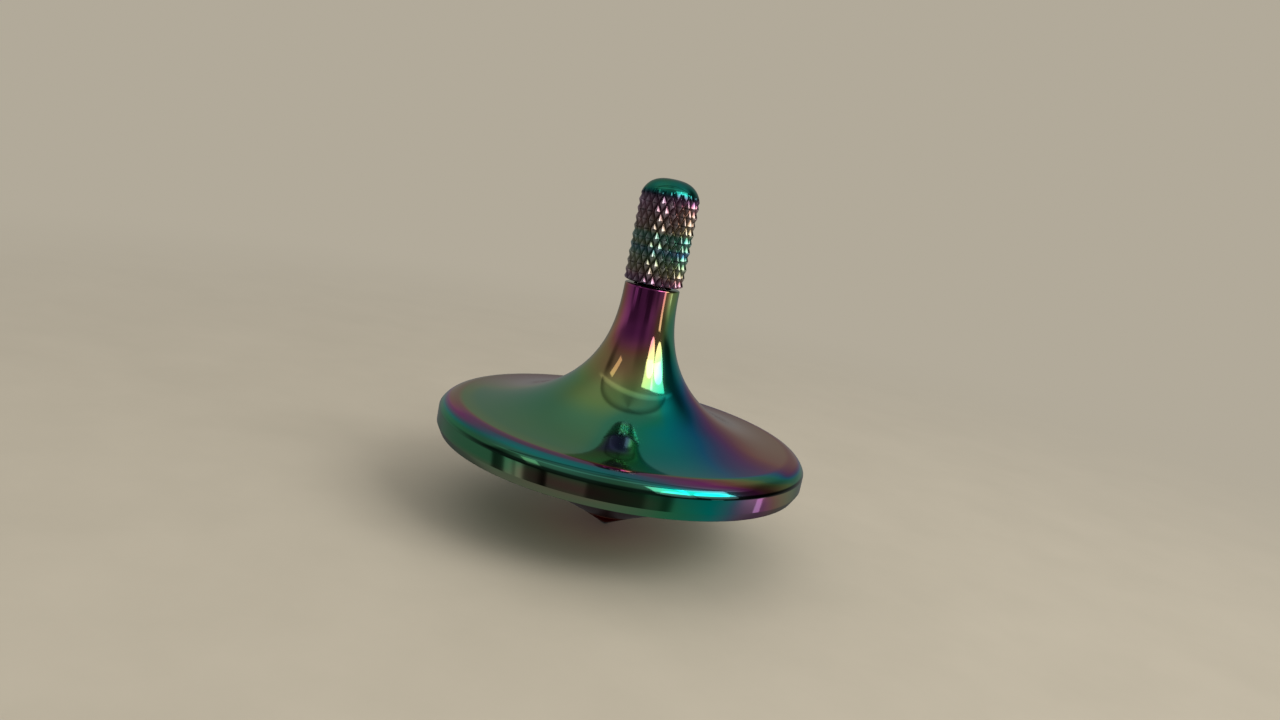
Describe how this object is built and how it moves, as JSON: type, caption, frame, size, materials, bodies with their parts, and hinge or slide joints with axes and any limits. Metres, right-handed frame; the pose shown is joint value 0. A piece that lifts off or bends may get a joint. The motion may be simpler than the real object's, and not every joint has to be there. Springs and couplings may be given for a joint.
{
  "type": "spinning top",
  "caption": "Small turned-metal spinning top with a thick rounded rim, a neck flaring up to a diamond-knurled finger grip, and a ball tip.",
  "frame": {"origin": "the ball tip's contact point, on the spin axis, where the top touches the table when it spins upright", "axes": "+Z along the spin axis, from the ball tip up to the grip's domed end; X and Y are level, and the top is round, so neither has a front"},
  "size_m": [0.03, 0.03, 0.0289],
  "materials": {
    "rotor_film": "polished steel with an iridescent vapour-deposited film, green to teal to purple",
    "grip_film": "knurled steel with the same film, purple, olive and teal bands",
    "stud_steel": "plain stainless set screw",
    "carrier_film": "polished, dark reddish film",
    "ball_ceramic": "polished black ceramic"
  },
  "bodies": {
    "root": {"rotor_body": "rotor_film", "knurled_grip": "grip_film", "grip_stud": "stud_steel", "tip_carrier": "carrier_film", "tip_ball": "ball_ceramic"}
  },
  "joints": []
}
